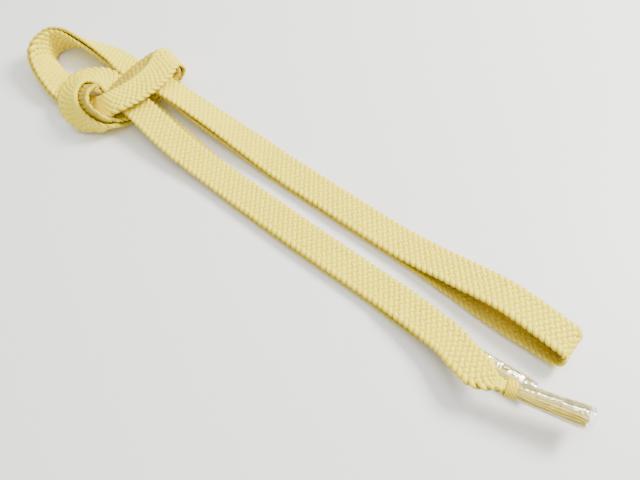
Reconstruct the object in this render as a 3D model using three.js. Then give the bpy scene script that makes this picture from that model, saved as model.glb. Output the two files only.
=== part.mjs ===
// Flat braided sash cord for a kimono, folded in half twice and tied in one overhand knot.
// Millimetres, +Z up, resting on Z = 0. +X runs from the loop end to the tassel end.
import * as THREE from 'three';

// ---- Driving dimensions ----
const BRAID_WIDTH = 17;
const BRAID_THICKNESS = 2.5;
const EDGE_ROUNDING = 0.9; // how far the braid's edge is rounded off, across
const ROUTE_STEPS = 3; // sections between two route points
const FOLD_STEPS = 6; // sections round the far fold

const NECK_WIDTH = 6.4; // braid gathered at each end for its tassel
const NECK_HEIGHT = 4.4;
const NECK_ROUNDING = 2; // edge rounding at the neck, which is nearly oval
const NECK_INSET = 0.5; // the flat-edged neck is this much narrower than the oval
const NECK_LENGTH = 4; // straight stretch that the binding grips
const GATHER_LENGTH = 11; // distance over which the braid narrows to its neck

const CLEARANCE = 0.3; // between neighbouring pieces

const TASSEL_LENGTH = 32;
const TASSEL_WIDTH = 7.2;
const UPPER_TASSEL_HEIGHT = 5.2;
const LOWER_TASSEL_HEIGHT = 4.2;
const UPPER_TASSEL_TURN = 15; // degrees from +X, seen from above
const LOWER_TASSEL_TURN = 1.5;

const BINDING_LENGTH = 5;
const BINDING_WALL = 0.7;

const FILM_WALL = 0.35;
const FILM_START = 3; // from the braid's end to the sleeve's narrow end
const FILM_OVERHANG = 1.5; // sleeve past the thread tips
const UPPER_FILM_FLARE = [2.8, 2.2]; // growth of width and height, narrow end to mouth
const LOWER_FILM_FLARE = [1.6, 0.8];

const ROUND_SIDES = 12; // sides of the tassels, bindings and sleeves

// ---- Route of the doubled braid ----
// The two layers lie face to face from the tassel end to the far fold.
// Each row: X, Y, Z of the middle between the layers; the azimuth and the tilt, in degrees,
// of the direction across the braid; how far the layers are fanned apart across it;
// the width as a share of BRAID_WIDTH, less than 1 where the knot squeezes the braid;
// and the distance between the layers' middles.
const ROUTE = [
  [132.5, -23.9, 9.6, -80, 0, 0, 1, 6],
  [126.5, -24.1, 9.4, -93, 0, 0, 1, 6],
  [117.5, -20.6, 7.9, -101, 0, -2, 1, 5.6],
  [107.5, -16.6, 6.2, -99, 0, -3, 1, 5.4],
  [95.5, -15.6, 4.7, -96, 0, -1, 1, 5],
  [81.5, -14.6, 3.6, -93, 0, 0, 1, 4],
  [64.5, -13.6, 2.65, -91, 0, 0, 1, 2.8],
  [25.5, -13.1, 2.65, -90, 0, 0, 1, 2.8],
  [-6.5, -12.1, 2.65, -90, 0, 0, 1, 2.8],
  [-36.5, -10.6, 3, -90, 0, -1, 1, 2.8],
  [-65.5, -8.6, 6.2, -91, 0, -3, 1, 2.8],
  [-93.5, -5.6, 9.6, -94, 0, -2, 0.95, 2.8],
  [-108, -4.6, 10, -92, 0, 0, 0.9, 2.8],
  [-120, -4.6, 11.4, -68, 6, 3, 0.85, 2.8],
  [-127.5, -12.6, 12.7, -9, 18, 7, 0.9, 2.8],
  [-123, -22.8, 12.7, 39, 34, 8, 0.95, 2.8],
  [-114, -27.3, 11.3, 76, 62, 7, 0.9, 2.8],
  [-105.5, -26.8, 10.2, -70, 88, 5, 0.8, 2.8],
  [-101, -24.3, 7.2, -13, 62, 2, 0.72, 2.8],
  [-101, -18.6, 4.5, -3, 22, 0, 0.75, 2.8],
  [-101, -8.6, 2.9, 0, 2, 0, 0.85, 2.8],
  [-101.5, 2.9, 2.8, 0, 0, 0, 0.9, 2.8],
  [-102.5, 14.9, 2.8, -6, 0, 0, 0.95, 2.8],
  [-102, 24.9, 3.4, -13, 0, 0, 1, 2.8],
  [-101, 29.9, 8.9, -13, 0, 0, 1, 2.8],
  [-102, 25.4, 14.6, -13, 0, -3, 1, 2.8],
  [-100.5, 14.4, 15.6, -13, 0, -8, 1, 2.8],
  [-100, 2.4, 15.9, -13, 0, -8, 1, 2.8],
  [-101, -8.1, 15.6, -13, -2, -5, 0.95, 2.8],
  [-103, -14.6, 14.4, -15, -5, -2, 0.85, 2.8],
  [-108, -17.6, 10.2, -25, -10, 0, 0.7, 2.8],
  [-115.5, -17.6, 5.2, -50, -5, 0, 0.7, 2.8],
  [-125, -18.6, 3.4, -75, 3, 0, 0.8, 2.8],
  [-136, -19.6, 4.6, -92, 12, 0, 1, 2.8],
  [-147, -18.1, 6.4, -102, 22, 0, 1, 2.8],
  [-157.5, -15.1, 7.2, -109, 34, 0, 1, 2.8],
  [-164, -12.1, 8.2, -129, 50, 0, 1, 2.8],
  [-167, -7.6, 9, -162, 68, 0, 1, 2.8],
  [-168, -0.1, 9.5, 162, 88, 0, 1, 2.8],
  [-162.5, 6.4, 9.5, -58, 72, 0, 1, 2.8],
  [-151.5, 10.4, 8.8, -74, 52, 0, 1, 2.8],
  [-140, 12.4, 8.4, -83, 37, 0, 1, 2.8],
  [-127.5, 12.4, 9.2, -96, 22, 0, 0.95, 2.8],
  [-115.5, 11.4, 9.8, -92, 10, 1, 0.92, 2.8],
  [-101.5, 12.9, 9.2, -85, 8, 2, 0.95, 2.8],
  [-85, 13.4, 9, -88, 20, 2, 1, 2.8],
  [-62.5, 13.4, 6.4, -90, 18, 0, 1, 2.8],
  [-36.5, 13.4, 4.3, -90, 10, 0, 1, 2.8],
  [-10.5, 12.9, 2.7, -90, 1, 0, 1, 2.8],
  [29.5, 12.4, 2.65, -90, 0, 0, 1, 2.8],
  [65.5, 12.4, 2.85, -90, 0, 0, 1, 3.2],
  [91.5, 12.4, 4.7, -90, 0, -2, 1, 5.8],
  [117.5, 11.9, 6.8, -90, 0, -4, 1, 9.4],
  [147, 10.9, 7.4, -86, 0, -2, 1, 8.6],
];
const LOWER_END_ROW = 3; // the lower layer's end lies here, under the upper layer

// ---- Curves ----

const radians = THREE.MathUtils.degToRad;

// Direction given by an azimuth from +X and a tilt above the XY plane, both in degrees.
function direction(azimuth, tilt) {
  const flat = Math.cos(radians(tilt));
  return new THREE.Vector3(
    flat * Math.cos(radians(azimuth)),
    flat * Math.sin(radians(azimuth)),
    Math.sin(radians(tilt)),
  );
}

// One value of a Catmull-Rom curve between b and c.
function catmullRom(a, b, c, d, t) {
  const slope = c - a;
  const bend = 2 * a - 5 * b + 4 * c - d;
  const twist = 3 * b - a - 3 * c + d;
  return 0.5 * (2 * b + slope * t + bend * t * t + twist * t * t * t);
}

// Passes a smooth curve through rows of numbers, column by column.
function smoothRows(rows, steps) {
  const last = rows.length - 1;
  const before = rows[0].map((value, i) => 2 * value - rows[1][i]);
  const after = rows[last].map((value, i) => 2 * value - rows[last - 1][i]);
  const padded = [before, ...rows, after];
  const samples = [];
  for (let row = 0; row < last; row += 1) {
    const [a, b, c, d] = padded.slice(row, row + 4);
    for (let step = 0; step < steps; step += 1) {
      samples.push(b.map((_, i) => catmullRom(a[i], b[i], c[i], d[i], step / steps)));
    }
  }
  samples.push(rows[last]);
  return samples;
}

// The doubled braid's stations: middle, heading, across and normal, with the layer values.
function pairStations() {
  const rows = ROUTE.map(([x, y, z, azimuth, tilt, fan, width, spread]) => {
    const across = direction(azimuth, tilt);
    return [x, y, z, across.x, across.y, across.z, fan, width, spread];
  });
  const samples = smoothRows(rows, ROUTE_STEPS);
  return samples.map((sample, i) => {
    const next = samples[Math.min(i + 1, samples.length - 1)];
    const previous = samples[Math.max(i - 1, 0)];
    const heading = new THREE.Vector3(...next.slice(0, 3));
    heading.sub(new THREE.Vector3(...previous.slice(0, 3))).normalize();
    const across = new THREE.Vector3(...sample.slice(3, 6));
    across.addScaledVector(heading, -across.dot(heading)).normalize();
    const normal = heading.clone().cross(across);
    const middle = new THREE.Vector3(...sample.slice(0, 3));
    const [fan, width, spread] = sample.slice(6);
    return { middle, heading, across, normal, fan, width, spread };
  });
}

// One layer of the pair: side 1 is the layer that lies on top at the tassel end.
function layerStation(pair, side) {
  const centre = pair.middle.clone();
  centre.addScaledVector(pair.normal, (side * pair.spread) / 2);
  centre.addScaledVector(pair.across, (-side * pair.fan) / 2);
  return { centre, across: pair.across, width: pair.width * BRAID_WIDTH };
}

// ---- Swept solids ----

// Joins closed rings of points into one closed, outward-facing body.
function loft(rings, closedAlong) {
  const sides = rings[0].length;
  const positions = rings.flat().flatMap((point) => [point.x, point.y, point.z]);
  const indices = [];
  const lengths = closedAlong ? rings.length : rings.length - 1;
  for (let ring = 0; ring < lengths; ring += 1) {
    const here = ring * sides;
    const there = ((ring + 1) % rings.length) * sides;
    for (let side = 0; side < sides; side += 1) {
      const next = (side + 1) % sides;
      indices.push(here + side, here + next, there + next);
      indices.push(here + side, there + next, there + side);
    }
  }
  if (!closedAlong) {
    const end = (rings.length - 1) * sides;
    for (let side = 1; side < sides - 1; side += 1) {
      indices.push(0, side + 1, side);
      indices.push(end, end + side, end + side + 1);
    }
  }
  const geometry = new THREE.BufferGeometry();
  geometry.setAttribute('position', new THREE.Float32BufferAttribute(positions, 3));
  geometry.setIndex(indices);
  geometry.computeVertexNormals();
  return geometry;
}

// Flat section with rounded edges, as [across, up] pairs anticlockwise about the heading.
function flatSection(width, height, rounding) {
  const edge = width / 2;
  const shoulder = edge - rounding;
  const face = height / 2;
  const lip = face * 0.45;
  return [
    [edge, -lip], [edge, lip], [shoulder, face], [-shoulder, face],
    [-edge, lip], [-edge, -lip], [-shoulder, -face], [shoulder, -face],
  ];
}

// Oval section of ROUND_SIDES sides.
function ovalSection(width, height) {
  const points = [];
  for (let side = 0; side < ROUND_SIDES; side += 1) {
    const angle = ((side + 0.5) / ROUND_SIDES) * 2 * Math.PI;
    points.push([(width / 2) * Math.cos(angle), (height / 2) * Math.sin(angle)]);
  }
  return points;
}

// Places a section's points at a station.
function placeSection(section, centre, across, up) {
  return section.map(([a, b]) => (
    centre.clone().addScaledVector(across, a).addScaledVector(up, b)
  ));
}

// ---- Braid ----

const smoothStep = (t) => t * t * (3 - 2 * t);

// Adds a gathered neck in front of a layer that starts with its free end.
function addNeck(stations, turn) {
  const out = direction(turn, 0);
  const across = direction(turn - 90, 0);
  const first = stations[0].centre;
  const neck = [NECK_LENGTH + 2, NECK_LENGTH / 2 + 2, 2].map((distance) => (
    { centre: first.clone().addScaledVector(out, distance), across, width: BRAID_WIDTH }
  ));
  return [...neck, ...stations];
}

// Narrows the braid to its neck over GATHER_LENGTH, measured from the free end.
function gatherEnd(stations) {
  let distance = 0;
  return stations.map((station, i) => {
    if (i > 0) distance += station.centre.distanceTo(stations[i - 1].centre);
    const opened = THREE.MathUtils.clamp((distance - NECK_LENGTH) / GATHER_LENGTH, 0, 1);
    const share = smoothStep(opened);
    return {
      ...station,
      width: THREE.MathUtils.lerp(NECK_WIDTH - NECK_INSET, station.width, share),
      height: THREE.MathUtils.lerp(NECK_HEIGHT, BRAID_THICKNESS, share),
      rounding: THREE.MathUtils.lerp(NECK_ROUNDING, EDGE_ROUNDING, share),
    };
  });
}

// Half-turn from the first layer to the second at the far fold.
function foldStations(pair) {
  const radius = pair.spread / 2;
  const stations = [];
  for (let step = 1; step < FOLD_STEPS; step += 1) {
    const angle = (step / FOLD_STEPS) * Math.PI;
    const centre = pair.middle.clone();
    centre.addScaledVector(pair.normal, radius * Math.cos(angle));
    centre.addScaledVector(pair.heading, radius * Math.sin(angle));
    centre.addScaledVector(pair.across, (-Math.cos(angle) * pair.fan) / 2);
    stations.push({ centre, across: pair.across, width: pair.width * BRAID_WIDTH });
  }
  return stations;
}

const pairs = pairStations();
const upperLayer = pairs.map((pair) => layerStation(pair, 1));
const lowerLayer = pairs.slice(LOWER_END_ROW * ROUTE_STEPS).map((pair) => layerStation(pair, -1));
const upperRun = gatherEnd(addNeck(upperLayer, UPPER_TASSEL_TURN));
const lowerRun = gatherEnd(addNeck(lowerLayer, LOWER_TASSEL_TURN));
const foldRun = foldStations(pairs.at(-1)).map((station) => (
  { ...station, height: BRAID_THICKNESS, rounding: EDGE_ROUNDING }
));
const braidStations = [...upperRun, ...foldRun, ...lowerRun.toReversed()];

// Sweeps the flat section along the whole braid.
function braidGeometry(stations) {
  const rings = stations.map((station, i) => {
    const next = stations[Math.min(i + 1, stations.length - 1)].centre;
    const previous = stations[Math.max(i - 1, 0)].centre;
    const heading = next.clone().sub(previous).normalize();
    const across = station.across.clone();
    across.addScaledVector(heading, -across.dot(heading)).normalize();
    const up = heading.clone().cross(across);
    const section = flatSection(station.width, station.height, station.rounding);
    return placeSection(section, station.centre, across, up);
  });
  return loft(rings, false);
}

// ---- Tassels, bindings and sleeves ----

// The frame of a tassel: its start at the braid's end, and its three directions.
function tasselFrame(stations, turn) {
  return {
    start: stations[0].centre,
    out: direction(turn, 0),
    across: direction(turn + 90, 0),
    up: direction(0, 90),
  };
}

// One oval ring at a distance along a tassel's axis.
function ovalRing(frame, distance, width, height) {
  const centre = frame.start.clone().addScaledVector(frame.out, distance);
  return placeSection(ovalSection(width, height), centre, frame.across, frame.up);
}

// Bundle of loose threads, gathered at the neck.
function tasselGeometry(frame, height) {
  const full = BINDING_LENGTH / 2 + CLEARANCE + 3;
  return loft([
    ovalRing(frame, CLEARANCE, NECK_WIDTH, NECK_HEIGHT),
    ovalRing(frame, BINDING_LENGTH / 2 + CLEARANCE, NECK_WIDTH, NECK_HEIGHT),
    ovalRing(frame, full, TASSEL_WIDTH, height),
    ovalRing(frame, TASSEL_LENGTH, TASSEL_WIDTH, height),
  ], false);
}

// Oval tube with straight flare: inner size at each end, wall outside it.
function tubeGeometry(frame, start, end, innerStart, innerEnd, wall) {
  return loft([
    ovalRing(frame, start, innerStart[0] + 2 * wall, innerStart[1] + 2 * wall),
    ovalRing(frame, end, innerEnd[0] + 2 * wall, innerEnd[1] + 2 * wall),
    ovalRing(frame, end, innerEnd[0], innerEnd[1]),
    ovalRing(frame, start, innerStart[0], innerStart[1]),
  ], true);
}

function bindingGeometry(frame) {
  const inner = [NECK_WIDTH + 2 * CLEARANCE, NECK_HEIGHT + 2 * CLEARANCE];
  const half = BINDING_LENGTH / 2;
  return tubeGeometry(frame, -half, half, inner, inner, BINDING_WALL);
}

function filmGeometry(frame, height, flare) {
  const narrow = [
    Math.max(TASSEL_WIDTH, NECK_WIDTH) + 2 * CLEARANCE,
    Math.max(height, NECK_HEIGHT) + 2 * CLEARANCE,
  ];
  const mouth = [narrow[0] + flare[0], narrow[1] + flare[1]];
  const end = TASSEL_LENGTH + FILM_OVERHANG;
  return tubeGeometry(frame, FILM_START, end, narrow, mouth, FILM_WALL);
}

// ---- Materials ----

const braidSilk = new THREE.MeshStandardMaterial({
  color: 0xe9d77c, roughness: 0.75, metalness: 0,
});
const tasselSilk = new THREE.MeshStandardMaterial({
  color: 0xd9bb52, roughness: 0.55, metalness: 0,
});
const bindingThread = new THREE.MeshStandardMaterial({
  color: 0xdcc562, roughness: 0.7, metalness: 0,
});
const clearFilm = new THREE.MeshStandardMaterial({
  color: 0xf4efd2, roughness: 0.08, metalness: 0, transparent: true, opacity: 0.35,
});

// ---- Assembly ----

const belt = new THREE.Group();

function addPiece(name, geometry, material) {
  const mesh = new THREE.Mesh(geometry, material);
  mesh.name = name;
  belt.add(mesh);
}

const upperFrame = tasselFrame(upperRun, UPPER_TASSEL_TURN);
const lowerFrame = tasselFrame(lowerRun, LOWER_TASSEL_TURN);

addPiece('flat_braid', braidGeometry(braidStations), braidSilk);
addPiece('tassel_upper', tasselGeometry(upperFrame, UPPER_TASSEL_HEIGHT), tasselSilk);
addPiece('tassel_lower', tasselGeometry(lowerFrame, LOWER_TASSEL_HEIGHT), tasselSilk);
addPiece('binding_upper', bindingGeometry(upperFrame), bindingThread);
addPiece('binding_lower', bindingGeometry(lowerFrame), bindingThread);
addPiece(
  'film_sleeve_upper',
  filmGeometry(upperFrame, UPPER_TASSEL_HEIGHT, UPPER_FILM_FLARE),
  clearFilm,
);
addPiece(
  'film_sleeve_lower',
  filmGeometry(lowerFrame, LOWER_TASSEL_HEIGHT, LOWER_FILM_FLARE),
  clearFilm,
);

export default belt;
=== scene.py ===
"""A flat braided silk sash cord, folded and tied in an overhand knot, on a pale table."""
import math
import random

import bmesh
import bpy
import numpy as np
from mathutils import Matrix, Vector


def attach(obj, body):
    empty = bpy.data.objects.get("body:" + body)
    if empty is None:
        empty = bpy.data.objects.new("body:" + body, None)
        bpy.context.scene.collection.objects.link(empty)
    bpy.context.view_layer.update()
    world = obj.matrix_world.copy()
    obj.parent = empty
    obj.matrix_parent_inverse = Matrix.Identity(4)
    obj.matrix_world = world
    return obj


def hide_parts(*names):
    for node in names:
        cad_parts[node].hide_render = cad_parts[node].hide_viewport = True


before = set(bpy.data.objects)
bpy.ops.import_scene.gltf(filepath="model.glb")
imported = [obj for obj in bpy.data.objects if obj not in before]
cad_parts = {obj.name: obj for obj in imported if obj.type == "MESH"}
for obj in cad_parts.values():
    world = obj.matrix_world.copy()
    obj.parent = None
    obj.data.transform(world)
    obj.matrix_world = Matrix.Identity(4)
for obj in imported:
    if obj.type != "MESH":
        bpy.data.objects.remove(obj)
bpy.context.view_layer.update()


# Camera: looks down at the cord from the front right, with the loop far away and the tassels
# near, through a lens a little wider than normal.
camera_azimuth = math.radians(37)
camera_elevation = math.radians(61)
camera_distance = 0.3026
camera_target = Vector((0.0295, -0.0081, 0))

toward_camera = Vector((
    math.cos(camera_elevation) * math.sin(camera_azimuth),
    -math.cos(camera_elevation) * math.cos(camera_azimuth),
    math.sin(camera_elevation),
))
camera_data = bpy.data.cameras.new("camera")
camera_data.lens = 34.875
camera_data.sensor_width = 36
camera = bpy.data.objects.new("camera", camera_data)
camera.location = camera_target + toward_camera * camera_distance
camera.rotation_euler = toward_camera.to_track_quat("Z", "Y").to_euler()
bpy.context.collection.objects.link(camera)
bpy.context.scene.camera = camera


# Flat braid: eight strands of silk plaited into one flat cord with a knobbly face, laid
# double and tied. The route is where the middle between its two layers lies.
braid_width = 0.017
braid_thickness = 0.0025
route_steps = 24
fold_steps = 16
upper_tassel_turn = 15
lower_tassel_turn = 1.5
lower_end_row = 3
neck_width = 0.0059
neck_height = 0.0044
neck_length = 0.004
gather_length = 0.011

# X, Y, Z, azimuth and tilt of the direction across, fan, share of the width, spread
route = [
    (0.1325, -0.0239, 0.0096, -80, 0, 0, 1, 0.006),
    (0.1265, -0.0241, 0.0094, -93, 0, 0, 1, 0.006),
    (0.1175, -0.0206, 0.0079, -101, 0, -0.002, 1, 0.0056),
    (0.1075, -0.0166, 0.0062, -99, 0, -0.003, 1, 0.0054),
    (0.0955, -0.0156, 0.0047, -96, 0, -0.001, 1, 0.005),
    (0.0815, -0.0146, 0.0036, -93, 0, 0, 1, 0.004),
    (0.0645, -0.0136, 0.00265, -91, 0, 0, 1, 0.0028),
    (0.0255, -0.0131, 0.00265, -90, 0, 0, 1, 0.0028),
    (-0.0065, -0.0121, 0.00265, -90, 0, 0, 1, 0.0028),
    (-0.0365, -0.0106, 0.003, -90, 0, -0.001, 1, 0.0028),
    (-0.0655, -0.0086, 0.0062, -91, 0, -0.003, 1, 0.0028),
    (-0.0935, -0.0056, 0.0096, -94, 0, -0.002, 0.95, 0.0028),
    (-0.108, -0.0046, 0.01, -92, 0, 0, 0.9, 0.0028),
    (-0.12, -0.0046, 0.0114, -68, 6, 0.003, 0.85, 0.0028),
    (-0.1275, -0.0126, 0.0127, -9, 18, 0.007, 0.9, 0.0028),
    (-0.123, -0.0228, 0.0127, 39, 34, 0.008, 0.95, 0.0028),
    (-0.114, -0.0273, 0.0113, 76, 62, 0.007, 0.9, 0.0028),
    (-0.1055, -0.0268, 0.0102, -70, 88, 0.005, 0.8, 0.0028),
    (-0.101, -0.0243, 0.0072, -13, 62, 0.002, 0.72, 0.0028),
    (-0.101, -0.0186, 0.0045, -3, 22, 0, 0.75, 0.0028),
    (-0.101, -0.0086, 0.0029, 0, 2, 0, 0.85, 0.0028),
    (-0.1015, 0.0029, 0.0028, 0, 0, 0, 0.9, 0.0028),
    (-0.1025, 0.0149, 0.0028, -6, 0, 0, 0.95, 0.0028),
    (-0.102, 0.0249, 0.0034, -13, 0, 0, 1, 0.0028),
    (-0.101, 0.0299, 0.0089, -13, 0, 0, 1, 0.0028),
    (-0.102, 0.0254, 0.0146, -13, 0, -0.003, 1, 0.0028),
    (-0.1005, 0.0144, 0.0156, -13, 0, -0.008, 1, 0.0028),
    (-0.1, 0.0024, 0.0159, -13, 0, -0.008, 1, 0.0028),
    (-0.101, -0.0081, 0.0156, -13, -2, -0.005, 0.95, 0.0028),
    (-0.103, -0.0146, 0.0144, -15, -5, -0.002, 0.85, 0.0028),
    (-0.108, -0.0176, 0.0102, -25, -10, 0, 0.7, 0.0028),
    (-0.1155, -0.0176, 0.0052, -50, -5, 0, 0.7, 0.0028),
    (-0.125, -0.0186, 0.0034, -75, 3, 0, 0.8, 0.0028),
    (-0.136, -0.0196, 0.0046, -92, 12, 0, 1, 0.0028),
    (-0.147, -0.0181, 0.0064, -102, 22, 0, 1, 0.0028),
    (-0.1575, -0.0151, 0.0072, -109, 34, 0, 1, 0.0028),
    (-0.164, -0.0121, 0.0082, -129, 50, 0, 1, 0.0028),
    (-0.167, -0.0076, 0.009, -162, 68, 0, 1, 0.0028),
    (-0.168, -0.0001, 0.0095, 162, 88, 0, 1, 0.0028),
    (-0.1625, 0.0064, 0.0095, -58, 72, 0, 1, 0.0028),
    (-0.1515, 0.0104, 0.0088, -74, 52, 0, 1, 0.0028),
    (-0.14, 0.0124, 0.0084, -83, 37, 0, 1, 0.0028),
    (-0.1275, 0.0124, 0.0092, -96, 22, 0, 0.95, 0.0028),
    (-0.1155, 0.0114, 0.0098, -92, 10, 0.001, 0.92, 0.0028),
    (-0.1015, 0.0129, 0.0092, -85, 8, 0.002, 0.95, 0.0028),
    (-0.085, 0.0134, 0.009, -88, 20, 0.002, 1, 0.0028),
    (-0.0625, 0.0134, 0.0064, -90, 18, 0, 1, 0.0028),
    (-0.0365, 0.0134, 0.0043, -90, 10, 0, 1, 0.0028),
    (-0.0105, 0.0129, 0.0027, -90, 1, 0, 1, 0.0028),
    (0.0295, 0.0124, 0.00265, -90, 0, 0, 1, 0.0028),
    (0.0655, 0.0124, 0.00285, -90, 0, 0, 1, 0.0032),
    (0.0915, 0.0124, 0.0047, -90, 0, -0.002, 1, 0.0058),
    (0.1175, 0.0119, 0.0068, -90, 0, -0.004, 1, 0.0094),
    (0.147, 0.0109, 0.0074, -86, 0, -0.002, 1, 0.0086),
]


def direction(azimuth, tilt=0):
    """A unit vector from an azimuth and a tilt in degrees."""
    flat = math.cos(math.radians(tilt))
    return np.array((
        flat * math.cos(math.radians(azimuth)),
        flat * math.sin(math.radians(azimuth)),
        math.sin(math.radians(tilt)),
    ))


def smooth_rows(rows, steps):
    """Passes a Catmull-Rom curve through rows of numbers."""
    padded = np.vstack([2 * rows[0] - rows[1], rows, 2 * rows[-1] - rows[-2]])
    samples = []
    for a, b, c, d in zip(padded, padded[1:], padded[2:], padded[3:]):
        for t in np.arange(steps) / steps:
            bend = (2 * a - 5 * b + 4 * c - d) * t * t
            twist = (3 * b - a - 3 * c + d) * t * t * t
            samples.append(0.5 * (2 * b + (c - a) * t + bend + twist))
    return np.array(samples + [rows[-1]])


def unit(vectors):
    return vectors / np.linalg.norm(vectors, axis=-1, keepdims=True)


def frames(points, across):
    """Headings, straightened across directions and normals along a line of points."""
    heading = unit(np.gradient(points, axis=0))
    across = across - (across * heading).sum(1, keepdims=True) * heading
    across = unit(across)
    return heading, across, np.cross(heading, across)


rows = np.array([
    (x, y, z, *direction(azimuth, tilt), fan, width, spread)
    for x, y, z, azimuth, tilt, fan, width, spread in route
])
samples = smooth_rows(rows, route_steps)
middle = samples[:, :3]
fan, share, spread = samples[:, 6:7], samples[:, 7:8], samples[:, 8:9]
heading, across, normal = frames(middle, samples[:, 3:6])


def layer(side):
    """Centre line of one layer of the doubled braid."""
    return middle + normal * side * spread / 2 - across * side * fan / 2


def with_neck(points, sides, widths, turn):
    """Adds the straight gathered neck in front of a layer's free end."""
    out = direction(turn)
    reach = np.linspace(neck_length + 0.002, 0.002, 9)[:, None]
    points = np.vstack([points[0] + out * reach, points])
    sides = np.vstack([np.tile(direction(turn - 90), (len(reach), 1)), sides])
    widths = np.vstack([np.full((len(reach), 1), braid_width), widths])
    steps = np.linalg.norm(np.diff(points, axis=0), axis=1)
    distance = np.concatenate([[0], np.cumsum(steps)])[:, None]
    opened = np.clip((distance - neck_length) / gather_length, 0, 1)
    opened = opened * opened * (3 - 2 * opened)
    widths = neck_width + (widths - neck_width) * opened
    heights = neck_height + (braid_thickness - neck_height) * opened
    return points, sides, widths, heights


upper_run = with_neck(layer(1), across, share * braid_width, upper_tassel_turn)
start = lower_end_row * route_steps
lower_run = with_neck(
    layer(-1)[start:], across[start:], share[start:] * braid_width, lower_tassel_turn
)
turn_angles = np.linspace(0, math.pi, fold_steps + 1)[1:-1, None]
fold_points = (
    middle[-1]
    + normal[-1] * np.cos(turn_angles) * spread[-1] / 2
    + heading[-1] * np.sin(turn_angles) * spread[-1] / 2
    - across[-1] * np.cos(turn_angles) * fan[-1] / 2
)
fold_run = (
    fold_points,
    np.tile(across[-1], (fold_steps - 1, 1)),
    np.full((fold_steps - 1, 1), braid_width),
    np.full((fold_steps - 1, 1), braid_thickness),
)
centre, side, width, height = (
    np.vstack([first, fold, last[::-1]])
    for first, fold, last in zip(upper_run, fold_run, lower_run)
)
heading, side, up = frames(centre, side)


def new_piece(name, vertices, faces, material, body):
    """A finished mesh piece that rides on a body, with smooth shading."""
    mesh = bpy.data.meshes.new(name)
    mesh.from_pydata([tuple(v) for v in vertices], [], faces)
    mesh.materials.append(material)
    mesh.shade_smooth()
    piece = bpy.data.objects.new(name, mesh)
    bpy.context.collection.objects.link(piece)
    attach(piece, body)
    return piece


def linear_colour(code):
    """A linear colour from an sRGB hex value."""
    channels = [int(code[i:i + 2], 16) / 255 for i in (1, 3, 5)]
    return (*[c / 12.92 if c <= 0.04045 else ((c + 0.055) / 1.055) ** 2.4 for c in channels], 1)


def add_node(tree, kind, sockets=None, **settings):
    """Adds a node with its settings, then sets or links its inputs."""
    node = tree.nodes.new(kind)
    for setting, value in settings.items():
        setattr(node, setting, value)
    for socket, value in (sockets or {}).items():
        if isinstance(value, bpy.types.NodeSocket):
            tree.links.new(value, node.inputs[socket])
        else:
            node.inputs[socket].default_value = value
    return node


def new_material(name):
    """An empty node material and its output node."""
    material = bpy.data.materials.new(name)
    material.use_nodes = True
    material.node_tree.nodes.clear()
    return material, material.node_tree


def new_tree(name, sizes):
    """A geometry node group with a guide going in, named sizes and a finished mesh."""
    tree = bpy.data.node_groups.new(name, "GeometryNodeTree")
    tree.interface.new_socket("Guide", in_out="INPUT", socket_type="NodeSocketGeometry")
    for label, kind in sizes.items():
        tree.interface.new_socket(label, in_out="INPUT", socket_type="NodeSocket" + kind)
    tree.interface.new_socket("Mesh", in_out="OUTPUT", socket_type="NodeSocketGeometry")
    return tree, add_node(tree, "NodeGroupInput").outputs


def new_guide(name, points, **attributes):
    """A bare line of points that carries directions and sizes for a node group."""
    guide = bpy.data.meshes.new(name)
    edges = [(i, i + 1) for i in range(len(points) - 1)]
    guide.from_pydata([tuple(p) for p in points], edges, [])
    for label, values in attributes.items():
        values = np.asarray(values, dtype=float)
        if values.ndim == 2 and values.shape[1] == 3:
            guide.attributes.new(label, "FLOAT_VECTOR", "POINT").data.foreach_set(
                "vector", values.ravel()
            )
        else:
            guide.attributes.new(label, "FLOAT", "POINT").data.foreach_set(
                "value", values.ravel()
            )
    return guide


def grown(name, guide, tree, sizes, body):
    """Runs a node group on a guide and keeps the plain mesh it makes."""
    piece = bpy.data.objects.new(name, guide)
    bpy.context.collection.objects.link(piece)
    modifier = piece.modifiers.new("grow", "NODES")
    modifier.node_group = tree
    for item in tree.interface.items_tree:
        if item.in_out == "INPUT" and item.name in sizes:
            modifier[item.identifier] = sizes[item.name]
    depsgraph = bpy.context.evaluated_depsgraph_get()
    mesh = bpy.data.meshes.new_from_object(
        piece.evaluated_get(depsgraph), preserve_all_data_layers=True, depsgraph=depsgraph
    )
    mesh.name = name
    piece.modifiers.clear()
    piece.data = mesh
    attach(piece, body)
    return piece


# Painted shade: the core that shows between the strands is coloured deeper golden than the silk, to
# stand for the shade that falls between them.
core_painted_shade, tree = new_material("silk_core_painted_shade")
weave = add_node(
    tree, "ShaderNodeTexNoise",
    {"Vector": add_node(tree, "ShaderNodeTexCoord").outputs["Object"], "Scale": 900, "Detail": 2},
)
# painted shade: the core's whole colour range is dark golden, the shade between the strands
tint = add_node(tree, "ShaderNodeValToRGB", {"Fac": weave.outputs["Fac"]})
tint.color_ramp.elements[0].color = linear_colour("#8A6E08")
tint.color_ramp.elements[1].color = linear_colour("#BE9A0E")
surface = add_node(
    tree, "ShaderNodeBsdfPrincipled", {"Base Color": tint.outputs["Color"], "Roughness": 0.8}
)
add_node(tree, "ShaderNodeOutputMaterial", {"Surface": surface.outputs["BSDF"]})

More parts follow.
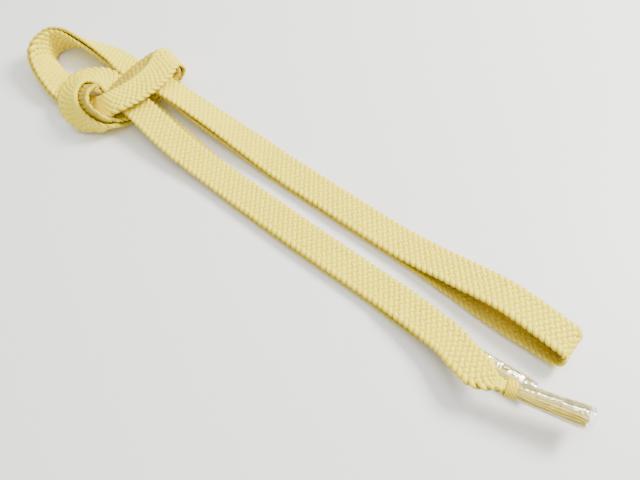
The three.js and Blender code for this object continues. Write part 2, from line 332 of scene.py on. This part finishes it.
# The core is the ribbon that the strands lie round
core_margin = 0.0012
core_thickness = 0.0009
half_sides = np.maximum(width / 2 - core_margin, 0.0012)
half_heights = np.full_like(half_sides, core_thickness / 2)
corners = [(-1, -1), (1, -1), (1, 1), (-1, 1)]
ribbon = np.stack([
    centre + side * half_sides * a + up * half_heights * b for a, b in corners
], axis=1).reshape(-1, 3)
ribbon_faces = [
    (4 * i + k, 4 * i + (k + 1) % 4, 4 * i + 4 + (k + 1) % 4, 4 * i + 4 + k)
    for i in range(len(centre) - 1) for k in range(4)
]
ribbon_faces += [(3, 2, 1, 0), tuple(4 * len(centre) - 4 + k for k in range(4))]
braid_core = new_piece("braid_core", ribbon, ribbon_faces, core_painted_shade, "cord")
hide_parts("flat_braid")

# The strands cross over one and under one, and turn back at the edges
strand_count = 8
strands_per_piece = (2, 2, 2, 2)
braid_pitch = 0.024
strand_radius = 0.00128
strand_flatness = 0.56
strand_samples = 3880

plait, sizes = new_tree("plaited_strands", {
    "First strand": "Int", "Strands": "Int", "Strand count": "Int", "Pitch": "Float",
    "Samples": "Int", "Flatness": "Float", "Unevenness": "Float", "Lump size": "Float",
    "Material": "Material",
})
line = add_node(plait, "GeometryNodeMeshToCurve", {0: sizes["Guide"]})
line = add_node(
    plait, "GeometryNodeResampleCurve", {"Curve": line.outputs[0], "Count": sizes["Samples"]}
)
copies = add_node(
    plait, "GeometryNodeDuplicateElements",
    {"Geometry": line.outputs[0], "Amount": sizes["Strands"]}, domain="SPLINE",
)
number = add_node(
    plait, "ShaderNodeMath",
    {0: copies.outputs["Duplicate Index"], 1: sizes["First strand"]}, operation="ADD",
)
run = add_node(plait, "GeometryNodeSplineParameter").outputs["Length"]
turns = add_node(
    plait, "ShaderNodeMath", {0: run, 1: sizes["Pitch"]}, operation="DIVIDE"
)
share_of_turn = add_node(
    plait, "ShaderNodeMath",
    {0: number.outputs[0], 1: sizes["Strand count"]}, operation="DIVIDE",
)
phase = add_node(
    plait, "ShaderNodeMath", {0: turns.outputs[0], 1: share_of_turn.outputs[0]},
    operation="ADD",
)
# from one edge to the other and back, rounded at the turns
zigzag = add_node(
    plait, "ShaderNodeMath", {0: phase.outputs[0], 1: 0.5}, operation="PINGPONG"
)
zigzag = add_node(
    plait, "ShaderNodeMath", {0: zigzag.outputs[0], 1: 4.0, 2: -1.0},
    operation="MULTIPLY_ADD",
)
turn_power = add_node(
    plait, "ShaderNodeMath", {0: zigzag.outputs[0], 1: 8.0}, operation="POWER"
)
turn_softening = add_node(
    plait, "ShaderNodeMath", {0: turn_power.outputs[0], 1: -0.125, 2: 1.125},
    operation="MULTIPLY_ADD",
)
sideways = add_node(
    plait, "ShaderNodeMath", {0: zigzag.outputs[0], 1: turn_softening.outputs[0]},
    operation="MULTIPLY",
)
# over and under: a wave with one crossing per strand, quieter at the edges
edge_distance = add_node(
    plait, "ShaderNodeMath", {0: phase.outputs[0], 1: 0.25}, operation="PINGPONG"
)
crossings = add_node(
    plait, "ShaderNodeMath", {0: edge_distance.outputs[0], 1: sizes["Strand count"]},
    operation="MULTIPLY",
)
wave_angle = add_node(
    plait, "ShaderNodeMath", {0: crossings.outputs[0], 1: 2 * math.pi}, operation="MULTIPLY"
)
wave = add_node(plait, "ShaderNodeMath", {0: wave_angle.outputs[0]}, operation="COSINE")
edge_angle = add_node(
    plait, "ShaderNodeMath", {0: crossings.outputs[0], 1: -math.pi}, operation="MULTIPLY"
)
edge_wave = add_node(plait, "ShaderNodeMath", {0: edge_angle.outputs[0]}, operation="SINE")
at_edge = add_node(
    plait, "ShaderNodeMath", {0: crossings.outputs[0], 1: 0.5}, operation="LESS_THAN"
)
height_wave = add_node(
    plait, "ShaderNodeMix",
    {0: at_edge.outputs[0], 2: wave.outputs[0], 3: edge_wave.outputs[0]}, data_type="FLOAT",
)
cycle = add_node(plait, "ShaderNodeMath", {0: phase.outputs[0]}, operation="FRACT")
returning = add_node(
    plait, "ShaderNodeMath", {0: cycle.outputs[0], 1: 0.5}, operation="GREATER_THAN"
)
sign = add_node(
    plait, "ShaderNodeMath", {0: returning.outputs[0], 1: -2.0, 2: 1.0},
    operation="MULTIPLY_ADD",
)
lift = add_node(
    plait, "ShaderNodeMath", {0: height_wave.outputs[0], 1: sign.outputs[0]},
    operation="MULTIPLY",
)
strands = copies.outputs[0]
for label, value in (("run", run), ("lift", lift.outputs[0]), ("strand", number.outputs[0])):
    stored = add_node(
        plait, "GeometryNodeStoreNamedAttribute",
        {"Geometry": strands, "Name": label, "Value": value}, data_type="FLOAT",
        domain="POINT",
    )
    strands = stored.outputs[0]
reach = add_node(
    plait, "GeometryNodeInputNamedAttribute", {"Name": "reach"}, data_type="FLOAT"
).outputs[0]
swing = add_node(
    plait, "GeometryNodeInputNamedAttribute", {"Name": "swing"}, data_type="FLOAT"
).outputs[0]
sideways = add_node(
    plait, "ShaderNodeMath", {0: sideways.outputs[0], 1: reach}, operation="MULTIPLY"
)
rise = add_node(
    plait, "ShaderNodeMath", {0: lift.outputs[0], 1: swing}, operation="MULTIPLY"
)
aside = add_node(
    plait, "ShaderNodeVectorMath",
    {0: add_node(
        plait, "GeometryNodeInputNamedAttribute", {"Name": "across"}, data_type="FLOAT_VECTOR"
    ).outputs[0], "Scale": sideways.outputs[0]}, operation="SCALE",
)
above = add_node(
    plait, "ShaderNodeVectorMath",
    {0: add_node(
        plait, "GeometryNodeInputNamedAttribute", {"Name": "up"}, data_type="FLOAT_VECTOR"
    ).outputs[0], "Scale": rise.outputs[0]}, operation="SCALE",
)
offset = add_node(
    plait, "ShaderNodeVectorMath", {0: aside.outputs[0], 1: above.outputs[0]}, operation="ADD"
)
strands = add_node(
    plait, "GeometryNodeSetPosition", {"Geometry": strands, "Offset": offset.outputs[0]}
)
thickness = add_node(
    plait, "GeometryNodeInputNamedAttribute", {"Name": "thread"}, data_type="FLOAT"
).outputs[0]
spine = add_node(
    plait, "GeometryNodeStoreNamedAttribute",
    {
        "Geometry": strands.outputs[0], "Name": "spine",
        "Value": add_node(plait, "GeometryNodeInputPosition").outputs[0],
    },
    data_type="FLOAT_VECTOR", domain="POINT",
)
# strands worked by hand are not quite even, so each swells and thins a little along its run
lump_scale = add_node(
    plait, "ShaderNodeMath", {0: 1.0, 1: sizes["Lump size"]}, operation="DIVIDE"
)
lumps = add_node(
    plait, "ShaderNodeTexNoise", {"Scale": lump_scale.outputs[0], "Detail": 1.0}
)
lumps = add_node(
    plait, "ShaderNodeMath", {0: lumps.outputs[0], 1: 0.5}, operation="SUBTRACT"
)
lumps = add_node(
    plait, "ShaderNodeMath", {0: lumps.outputs[0], 1: sizes["Unevenness"], 2: 1.0},
    operation="MULTIPLY_ADD",
)
thickness = add_node(
    plait, "ShaderNodeMath", {0: thickness, 1: lumps.outputs[0]}, operation="MULTIPLY"
).outputs[0]
ring = add_node(
    plait, "GeometryNodeCurvePrimitiveCircle", {"Resolution": 8, "Radius": 1.0}
)
ring = add_node(
    plait, "GeometryNodeStoreNamedAttribute",
    {
        "Geometry": ring.outputs[0], "Name": "round",
        "Value": add_node(plait, "GeometryNodeSplineParameter").outputs["Factor"],
    },
    data_type="FLOAT", domain="POINT",
)
tubes = add_node(
    plait, "GeometryNodeCurveToMesh",
    {
        "Curve": spine.outputs[0], "Profile Curve": ring.outputs[0], "Scale": thickness,
        "Fill Caps": True,
    },
)
# each strand is pressed flat in the thickness of the braid
from_spine = add_node(
    plait, "ShaderNodeVectorMath",
    {
        0: add_node(plait, "GeometryNodeInputPosition").outputs[0],
        1: add_node(
            plait, "GeometryNodeInputNamedAttribute", {"Name": "spine"},
            data_type="FLOAT_VECTOR",
        ).outputs[0],
    },
    operation="SUBTRACT",
)
braid_up = add_node(
    plait, "GeometryNodeInputNamedAttribute", {"Name": "up"}, data_type="FLOAT_VECTOR"
).outputs[0]
bulge = add_node(
    plait, "ShaderNodeVectorMath", {0: from_spine.outputs[0], 1: braid_up},
    operation="DOT_PRODUCT",
)
pressed = add_node(
    plait, "ShaderNodeMath", {0: sizes["Flatness"], 1: 1.0}, operation="SUBTRACT"
)
pressed = add_node(
    plait, "ShaderNodeMath", {0: pressed.outputs[0], 1: bulge.outputs["Value"]},
    operation="MULTIPLY",
)
pressing = add_node(
    plait, "ShaderNodeVectorMath", {0: braid_up, "Scale": pressed.outputs[0]},
    operation="SCALE",
)
tubes = add_node(
    plait, "GeometryNodeSetPosition", {"Geometry": tubes.outputs[0], "Offset": pressing.outputs[0]}
)
tubes = add_node(plait, "GeometryNodeSetShadeSmooth", {0: tubes.outputs[0]})
tubes = add_node(plait, "GeometryNodeRealizeInstances", {0: tubes.outputs[0]})
tubes = add_node(
    plait, "GeometryNodeSetMaterial", {0: tubes.outputs[0], "Material": sizes["Material"]}
)
add_node(plait, "NodeGroupOutput", {0: tubes.outputs[0]})

# Filament silk, dyed pale lemon: smooth, with a soft sheen along the fibres, and with painted
# shade, deeper golden, where each strand dips under its neighbours. Fibres are drawn about 0.5 mm
# apart, coarser than real ones, so that they show.
braid_silk, tree = new_material("braided_silk")
run_along = add_node(tree, "ShaderNodeAttribute", attribute_name="run").outputs["Fac"]
round_strand = add_node(tree, "ShaderNodeAttribute", attribute_name="round").outputs["Fac"]
strand_number = add_node(tree, "ShaderNodeAttribute", attribute_name="strand").outputs["Fac"]
strand_lift = add_node(tree, "ShaderNodeAttribute", attribute_name="lift").outputs["Fac"]
along = add_node(tree, "ShaderNodeMath", {0: run_along, 1: 300}, operation="MULTIPLY")
around = add_node(tree, "ShaderNodeMath", {0: round_strand, 1: 16}, operation="MULTIPLY")
apart = add_node(tree, "ShaderNodeMath", {0: strand_number, 1: 7.3}, operation="MULTIPLY")
fibre_place = add_node(
    tree, "ShaderNodeCombineXYZ", {0: along.outputs[0], 1: around.outputs[0], 2: apart.outputs[0]}
)
fibres = add_node(
    tree, "ShaderNodeTexNoise", {"Vector": fibre_place.outputs[0], "Scale": 1, "Detail": 2}
)
place = add_node(tree, "ShaderNodeTexCoord").outputs["Object"]
dye = add_node(tree, "ShaderNodeTexNoise", {"Vector": place, "Scale": 45, "Detail": 2})
# painted shade: where a strand passes under (low lift) it is coloured deeper golden, where it rises
# over it is pale lemon
shade = add_node(
    tree, "ShaderNodeMapRange",
    {"Value": strand_lift, "From Min": -0.9, "From Max": 0.7, "To Min": 0, "To Max": 1},
)
painted_shade_to_face = add_node(
    tree, "ShaderNodeMix",
    {0: shade.outputs[0], 6: linear_colour("#AE9200"), 7: linear_colour("#FCE824")},
    data_type="RGBA",
)
uneven = add_node(
    tree, "ShaderNodeMapRange",
    {"Value": dye.outputs["Fac"], "From Min": 0.3, "From Max": 0.7, "To Min": 0, "To Max": 0.3},
)
# painted shade mixed with a random unevenness of dye along the braid
shade_and_dye = add_node(
    tree, "ShaderNodeMix",
    {0: uneven.outputs[0], 6: painted_shade_to_face.outputs[2], 7: linear_colour("#F0D410")},
    data_type="RGBA",
)
gloss = add_node(
    tree, "ShaderNodeMapRange", {"Value": fibres.outputs["Fac"], "To Min": 0.38, "To Max": 0.6}
)
ridges = add_node(
    tree, "ShaderNodeBump",
    {"Strength": 0.35, "Distance": 0.0002, "Height": fibres.outputs["Fac"]},
)
surface = add_node(
    tree, "ShaderNodeBsdfPrincipled",
    {
        "Base Color": shade_and_dye.outputs[2], "Roughness": gloss.outputs[0], "IOR": 1.5,
        "Sheen Weight": 0.05, "Sheen Roughness": 0.4, "Normal": ridges.outputs[0],
    },
)
add_node(tree, "ShaderNodeOutputMaterial", {"Surface": surface.outputs["BSDF"]})

gathered = (height - braid_thickness) / (neck_height - braid_thickness)
thread_radii = strand_radius * (1 - 0.25 * gathered)
guide_facts = {
    "across": side,
    "up": up,
    "reach": width / 2 - thread_radii,
    "swing": height / 2 - thread_radii * strand_flatness,
    "thread": thread_radii,
}
strand_pieces = []
first_strand = 0
for strands_here in strands_per_piece:
    name = "braid_strands_%d" % (len(strand_pieces) + 1)
    strand_pieces.append(grown(
        name, new_guide(name, centre, **guide_facts), plait,
        {
            "First strand": first_strand, "Strands": strands_here,
            "Strand count": strand_count, "Pitch": braid_pitch, "Samples": strand_samples,
            "Flatness": strand_flatness, "Unevenness": 0.5, "Lump size": 0.004,
            "Material": braid_silk,
        },
        "cord",
    ))
    first_strand += strands_here


# Tassels: the silk threads of the braid's two ends, left loose beyond the binding and combed
# straight, so that each lies as a narrow bundle of fine parallel threads.
tassel_length = 0.032
tassel_width = 0.0072
tassel_start = 0.0003
tassel_gathered = 0.0028
tassel_full = 0.0058
tassel_stations = 30
film_start = 0.003
tassel_threads = 240
tassel_samples = 26
tassel_thread_radius = 0.00026

bundle, sizes = new_tree("thread_bundle", {
    "Threads": "Int", "Samples": "Int", "Thread radius": "Float", "Waviness": "Float",
    "Uneven ends": "Vector", "Seed": "Int", "Material": "Material",
})
line = add_node(bundle, "GeometryNodeMeshToCurve", {0: sizes["Guide"]})
line = add_node(
    bundle, "GeometryNodeResampleCurve", {"Curve": line.outputs[0], "Count": sizes["Samples"]}
)
copies = add_node(
    bundle, "GeometryNodeDuplicateElements",
    {"Geometry": line.outputs[0], "Amount": sizes["Threads"]}, domain="SPLINE",
)
thread_number = copies.outputs["Duplicate Index"]
progress = add_node(bundle, "GeometryNodeSplineParameter")
angle = add_node(
    bundle, "FunctionNodeRandomValue",
    {"Min": 0.0, "Max": 2 * math.pi, "ID": thread_number, "Seed": sizes["Seed"]},
    data_type="FLOAT",
)
spots = add_node(
    bundle, "FunctionNodeRandomValue",
    {
        "Min": 0.0, "Max": 1.0, "ID": thread_number,
        "Seed": add_node(
            bundle, "ShaderNodeMath", {0: sizes["Seed"], 1: 1}, operation="ADD"
        ).outputs[0],
    },
    data_type="FLOAT",
)
radius_share = add_node(
    bundle, "ShaderNodeMath", {0: spots.outputs[1], 1: 0.36}, operation="POWER"
)
threads = copies.outputs[0]
for label, value in (("run", progress.outputs["Length"]), ("strand", thread_number)):
    stored = add_node(
        bundle, "GeometryNodeStoreNamedAttribute",
        {"Geometry": threads, "Name": label, "Value": value}, data_type="FLOAT",
        domain="POINT",
    )
    threads = stored.outputs[0]
shift = None
for direction_name, reach_name, wave_kind in (
    ("across", "half_width", "COSINE"), ("up", "half_height", "SINE"),
):
    turned = add_node(bundle, "ShaderNodeMath", {0: angle.outputs[1]}, operation=wave_kind)
    wander_place = add_node(
        bundle, "ShaderNodeCombineXYZ",
        {0: progress.outputs["Factor"], 1: thread_number, 2: len(direction_name)},
    )
    wander = add_node(
        bundle, "ShaderNodeTexNoise",
        {"Vector": wander_place.outputs[0], "Scale": 2.3, "Detail": 1},
    )
    wander = add_node(
        bundle, "ShaderNodeMath", {0: wander.outputs[0], 1: 0.5}, operation="SUBTRACT"
    )
    wander = add_node(
        bundle, "ShaderNodeMath", {0: wander.outputs[0], 1: sizes["Waviness"]},
        operation="MULTIPLY",
    )
    spot = add_node(
        bundle, "ShaderNodeMath", {0: turned.outputs[0], 1: radius_share.outputs[0]},
        operation="MULTIPLY",
    )
    spot = add_node(
        bundle, "ShaderNodeMath", {0: spot.outputs[0], 1: wander.outputs[0]}, operation="ADD"
    )
    spot = add_node(bundle, "ShaderNodeClamp", {0: spot.outputs[0], 1: -1, 2: 1})
    amount = add_node(
        bundle, "ShaderNodeMath",
        {0: spot.outputs[0], 1: add_node(
            bundle, "GeometryNodeInputNamedAttribute", {"Name": reach_name},
            data_type="FLOAT",
        ).outputs[0]}, operation="MULTIPLY",
    )
    vector = add_node(
        bundle, "ShaderNodeVectorMath",
        {0: add_node(
            bundle, "GeometryNodeInputNamedAttribute", {"Name": direction_name},
            data_type="FLOAT_VECTOR",
        ).outputs[0], "Scale": amount.outputs[0]}, operation="SCALE",
    )
    if shift is None:
        shift = vector.outputs[0]
    else:
        shift = add_node(
            bundle, "ShaderNodeVectorMath", {0: shift, 1: vector.outputs[0]}, operation="ADD"
        ).outputs[0]
shortfall = add_node(
    bundle, "FunctionNodeRandomValue",
    {
        "Min": 0.0, "Max": 1.0, "ID": thread_number,
        "Seed": add_node(
            bundle, "ShaderNodeMath", {0: sizes["Seed"], 1: 2}, operation="ADD"
        ).outputs[0],
    },
    data_type="FLOAT",
)
shortfall = add_node(
    bundle, "ShaderNodeMath", {0: shortfall.outputs[1], 1: progress.outputs["Factor"]},
    operation="MULTIPLY",
)
pulled = add_node(
    bundle, "ShaderNodeVectorMath",
    {0: sizes["Uneven ends"], "Scale": shortfall.outputs[0]}, operation="SCALE",
)
shift = add_node(
    bundle, "ShaderNodeVectorMath", {0: shift, 1: pulled.outputs[0]}, operation="ADD"
)
threads = add_node(
    bundle, "GeometryNodeSetPosition", {"Geometry": threads, "Offset": shift.outputs[0]}
)
ring = add_node(
    bundle, "GeometryNodeCurvePrimitiveCircle",
    {"Resolution": 5, "Radius": sizes["Thread radius"]},
)
tubes = add_node(
    bundle, "GeometryNodeCurveToMesh",
    {"Curve": threads.outputs[0], "Profile Curve": ring.outputs[0], "Fill Caps": True},
)
tubes = add_node(bundle, "GeometryNodeSetShadeSmooth", {0: tubes.outputs[0]})
tubes = add_node(bundle, "GeometryNodeRealizeInstances", {0: tubes.outputs[0]})
tubes = add_node(
    bundle, "GeometryNodeSetMaterial", {0: tubes.outputs[0], "Material": sizes["Material"]}
)
add_node(bundle, "NodeGroupOutput", {0: tubes.outputs[0]})

# Loose filament silk: straight shiny threads, each a slightly different depth of yellow at random.
tassel_silk, tree = new_material("combed_silk")
thread_number = add_node(tree, "ShaderNodeAttribute", attribute_name="strand").outputs["Fac"]
thread_tone = add_node(
    tree, "ShaderNodeTexWhiteNoise", {"W": thread_number}, noise_dimensions="1D"
)
tone = add_node(tree, "ShaderNodeValToRGB", {"Fac": thread_tone.outputs["Value"]})
tone.color_ramp.elements[0].color = linear_colour("#DDBE14")
tone.color_ramp.elements[1].color = linear_colour("#FFEC30")
surface = add_node(
    tree, "ShaderNodeBsdfPrincipled",
    {
        "Base Color": tone.outputs["Color"], "Roughness": 0.42, "IOR": 1.5,
        "Sheen Weight": 0.05, "Sheen Roughness": 0.4,
    },
)
add_node(tree, "ShaderNodeOutputMaterial", {"Surface": surface.outputs["BSDF"]})

tassels = {
    "upper": {
        "start": centre[0], "turn": upper_tassel_turn, "height": 0.0052,
        "flare": (0.0028, 0.0022), "seed": 11,
    },
    "lower": {
        "start": centre[-1], "turn": lower_tassel_turn, "height": 0.0042,
        "flare": (0.0016, 0.0008), "seed": 23,
    },
}
for place_name, tassel in tassels.items():
    out, across = direction(tassel["turn"]), direction(tassel["turn"] + 90)
    distance = np.linspace(
        tassel_start, tassel_length - tassel_thread_radius, tassel_stations
    )[:, None]
    opened = np.clip((distance - tassel_gathered) / (tassel_full - tassel_gathered), 0, 1)
    flared = np.clip((distance - film_start) / (tassel_length - film_start), 0, 1)
    half_width = (
        neck_width + (tassel_width - neck_width) * opened + tassel["flare"][0] * flared
    ) / 2
    half_height = (
        neck_height + (tassel["height"] - neck_height) * opened + tassel["flare"][1] * flared
    ) / 2
    name = "tassel_threads_" + place_name
    threads = grown(
        name,
        new_guide(
            name, tassel["start"] + out * distance,
            across=np.tile(across, (tassel_stations, 1)),
            up=np.tile(direction(0, 90), (tassel_stations, 1)),
            half_width=half_width - tassel_thread_radius,
            half_height=half_height - tassel_thread_radius,
        ),
        bundle,
        {
            "Threads": tassel_threads, "Samples": tassel_samples,
            "Thread radius": tassel_thread_radius, "Waviness": 0.5,
            "Uneven ends": tuple(out * -0.003), "Seed": tassel["seed"],
            "Material": tassel_silk,
        },
        "cord",
    )
    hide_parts("tassel_" + place_name)


# Bindings: fine silk thread wound tightly round each gathered end of the braid, which keeps
# the plait from opening where the tassel begins.
binding_length = 0.005
binding_turns = 9
binding_thread_radius = 0.00034
binding_gap = 0.0003
bound_width = 0.0064

winding, sizes = new_tree("wound_thread", {
    "Centre": "Vector", "Out": "Vector", "Across": "Vector", "Up": "Vector",
    "Length": "Float", "Turns": "Float", "Half width": "Float", "Half height": "Float",
    "Thread radius": "Float", "Material": "Material",
})
coil = add_node(
    winding, "GeometryNodeCurveSpiral",
    {
        "Resolution": 28, "Rotations": sizes["Turns"], "Start Radius": 1.0, "End Radius": 1.0,
        "Height": 1.0, "Reverse": False,
    },
)
spot = add_node(
    winding, "ShaderNodeSeparateXYZ", {0: add_node(winding, "GeometryNodeInputPosition").outputs[0]}
)
from_middle = add_node(
    winding, "ShaderNodeMath", {0: spot.outputs[2], 1: 0.5}, operation="SUBTRACT"
)
position = sizes["Centre"]
for amount, reach_size, direction_size in (
    (spot.outputs[0], sizes["Half width"], sizes["Across"]),
    (spot.outputs[1], sizes["Half height"], sizes["Up"]),
    (from_middle.outputs[0], sizes["Length"], sizes["Out"]),
):
    amount = add_node(winding, "ShaderNodeMath", {0: amount, 1: reach_size}, operation="MULTIPLY")
    step = add_node(
        winding, "ShaderNodeVectorMath", {0: direction_size, "Scale": amount.outputs[0]},
        operation="SCALE",
    )
    position = add_node(
        winding, "ShaderNodeVectorMath", {0: position, 1: step.outputs[0]}, operation="ADD"
    ).outputs[0]
coil = add_node(
    winding, "GeometryNodeStoreNamedAttribute",
    {
        "Geometry": coil.outputs[0], "Name": "run",
        "Value": add_node(winding, "GeometryNodeSplineParameter").outputs["Factor"],
    },
    data_type="FLOAT", domain="POINT",
)
coil = add_node(
    winding, "GeometryNodeSetPosition", {"Geometry": coil.outputs[0], "Position": position}
)
ring = add_node(
    winding, "GeometryNodeCurvePrimitiveCircle",
    {"Resolution": 8, "Radius": sizes["Thread radius"]},
)
tubes = add_node(
    winding, "GeometryNodeCurveToMesh",
    {"Curve": coil.outputs[0], "Profile Curve": ring.outputs[0], "Fill Caps": True},
)
tubes = add_node(winding, "GeometryNodeSetShadeSmooth", {0: tubes.outputs[0]})
tubes = add_node(winding, "GeometryNodeRealizeInstances", {0: tubes.outputs[0]})
tubes = add_node(
    winding, "GeometryNodeSetMaterial", {0: tubes.outputs[0], "Material": sizes["Material"]}
)
add_node(winding, "NodeGroupOutput", {0: tubes.outputs[0]})

# Twisted silk sewing thread: matt, with a slant from its twist, drawn about 1 mm apart so that
# it shows.
binding_silk, tree = new_material("twisted_silk")
twist = add_node(
    tree, "ShaderNodeTexWave",
    {"Vector": add_node(tree, "ShaderNodeTexCoord").outputs["Object"], "Scale": 320},
    wave_type="BANDS", bands_direction="DIAGONAL",
)
tone = add_node(tree, "ShaderNodeValToRGB", {"Fac": twist.outputs["Fac"]})
tone.color_ramp.elements[0].color = linear_colour("#CFB010")
tone.color_ramp.elements[1].color = linear_colour("#F8DE2A")
ridges = add_node(
    tree, "ShaderNodeBump", {"Strength": 0.3, "Distance": 0.0001, "Height": twist.outputs["Fac"]}
)
surface = add_node(
    tree, "ShaderNodeBsdfPrincipled",
    {"Base Color": tone.outputs["Color"], "Roughness": 0.6, "Normal": ridges.outputs[0]},
)
add_node(tree, "ShaderNodeOutputMaterial", {"Surface": surface.outputs["BSDF"]})

for place_name, tassel in tassels.items():
    out, across = direction(tassel["turn"]), direction(tassel["turn"] + 90)
    name = "binding_thread_" + place_name
    wound = grown(
        name, new_guide(name, [tassel["start"], tassel["start"] + out * 0.001]), winding,
        {
            "Centre": tuple(tassel["start"]), "Out": tuple(out), "Across": tuple(across),
            "Up": (0.0, 0.0, 1.0), "Length": binding_length - 2 * binding_thread_radius,
            "Turns": float(binding_turns),
            "Half width": bound_width / 2 + binding_gap + binding_thread_radius,
            "Half height": neck_height / 2 + binding_gap + binding_thread_radius,
            "Thread radius": binding_thread_radius, "Material": binding_silk,
        },
        "cord",
    )
    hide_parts("binding_" + place_name)


# Sleeves: a strip of thin clear film rolled once round each tassel with its edges lapped, which
# keeps the threads straight in storage. Held only by its own spring, so it slides off.
film_overhang = 0.0015
film_thickness = 0.0001
film_gap = 0.0003
film_wall = 0.00035
film_lap = 0.9
film_first_edge = 0.6
lap_step = 0.00022
crease_height = 0.000035
ragged_edge = 0.0004
film_rows = 60
film_columns = 84

# Polypropylene film: clear and glossy, it shows as soft white streaks along its creases.
film, tree = new_material("clear_polypropylene_film")
creases = add_node(
    tree, "ShaderNodeTexNoise",
    {"Vector": add_node(tree, "ShaderNodeTexCoord").outputs["Object"], "Scale": 260, "Detail": 3},
)
ridges = add_node(
    tree, "ShaderNodeBump", {"Strength": 0.9, "Distance": 0.0009, "Height": creases.outputs["Fac"]}
)
facing = add_node(tree, "ShaderNodeFresnel", {"IOR": 1.5})
clear = add_node(tree, "ShaderNodeBsdfTransparent", {"Color": (0.97, 0.97, 0.95, 1)})
shine = add_node(
    tree, "ShaderNodeBsdfAnisotropic",
    {"Color": (1, 1, 1, 1), "Roughness": 0.08, "Normal": ridges.outputs[0]},
)
strength = add_node(
    tree, "ShaderNodeMath", {0: facing.outputs[0], 1: 0.3, 2: 0.045}, operation="MULTIPLY_ADD"
)
film_surface = add_node(
    tree, "ShaderNodeMixShader", {0: strength.outputs[0], 1: clear.outputs[0], 2: shine.outputs[0]}
)
add_node(tree, "ShaderNodeOutputMaterial", {"Surface": film_surface.outputs[0]})

for place_name, tassel in tassels.items():
    random.seed(tassel["seed"])
    out, across = direction(tassel["turn"]), direction(tassel["turn"] + 90)
    upward = direction(0, 90)
    folds = [
        (random.randint(3, 9), random.uniform(0, 2 * math.pi), random.uniform(-0.8, 0.8))
        for _ in range(5)
    ]
    vertices = []
    for row in range(film_rows):
        along = row / (film_rows - 1)
        reach = film_start + along * (tassel_length + film_overhang - film_start)
        half_width = (
            tassel_width / 2 + film_gap + film_wall / 2 + tassel["flare"][0] / 2 * along
        )
        half_height = (
            tassel["height"] / 2 + film_gap + film_wall / 2 + tassel["flare"][1] / 2 * along
        )
        for column in range(film_columns):
            turn = column / (film_columns - 1) * (2 * math.pi + film_lap) + film_first_edge
            lap = lap_step * column / (film_columns - 1) - lap_step / 2
            crease = sum(
                math.sin(count * turn + start + slant * 3 * along) for count, start, slant in folds
            ) * crease_height * (0.4 + along)
            edge = ragged_edge * math.sin(2 * turn + tassel["seed"]) * along ** 6
            vertices.append(
                tassel["start"] + out * (reach + edge - ragged_edge * along ** 6)
                + across * math.cos(turn) * (half_width + lap + crease)
                + upward * math.sin(turn) * (half_height + lap + crease)
            )
    faces = [
        (
            row * film_columns + column, row * film_columns + column + 1,
            (row + 1) * film_columns + column + 1, (row + 1) * film_columns + column,
        )
        for row in range(film_rows - 1) for column in range(film_columns - 1)
    ]
    sleeve = new_piece(
        "film_" + place_name, vertices, faces, film, place_name + "_film"
    )
    shell = bmesh.new()
    shell.from_mesh(sleeve.data)
    bmesh.ops.recalc_face_normals(shell, faces=shell.faces)
    shell.to_mesh(sleeve.data)
    shell.free()
    wall = sleeve.modifiers.new("film thickness", "SOLIDIFY")
    wall.thickness = film_thickness
    wall.offset = 0
    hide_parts("film_sleeve_" + place_name)


# Table: a smooth pale board with a faint gloss, lit by one large soft lamp from the right and
# a broad weak one above.
bpy.ops.mesh.primitive_plane_add(size=6, location=(0, 0, 0))
table = bpy.context.object
table.name = "table"
board, tree = new_material("painted_board")
surface = add_node(
    tree, "ShaderNodeBsdfPrincipled",
    {"Base Color": linear_colour("#F1F0EA"), "Roughness": 0.45, "Specular IOR Level": 0.35},
)
add_node(tree, "ShaderNodeOutputMaterial", {"Surface": surface.outputs["BSDF"]})
table.data.materials.append(board)

view_right = Vector((math.cos(camera_azimuth), math.sin(camera_azimuth), 0))
view_away = Vector((-math.sin(camera_azimuth), math.cos(camera_azimuth), 0))
for name, place, size, power in (
    ("window_lamp", view_right * 0.62 + view_away * 0.28 + Vector((0, 0, 0.62)), 0.3, 19.0),
    ("ceiling_lamp", view_away * 0.2 + Vector((0, 0, 1.1)), 1.2, 14.0),
):
    light = bpy.data.lights.new(name, "AREA")
    light.energy = power
    light.size = size
    lamp = bpy.data.objects.new(name, light)
    lamp.location = place
    lamp.rotation_euler = place.to_track_quat("Z", "Y").to_euler()
    bpy.context.collection.objects.link(lamp)

world = bpy.data.worlds.new("studio")
world.use_nodes = True
world.node_tree.nodes["Background"].inputs["Color"].default_value = linear_colour("#E9EBEE")
world.node_tree.nodes["Background"].inputs["Strength"].default_value = 0.85
bpy.context.scene.world = world
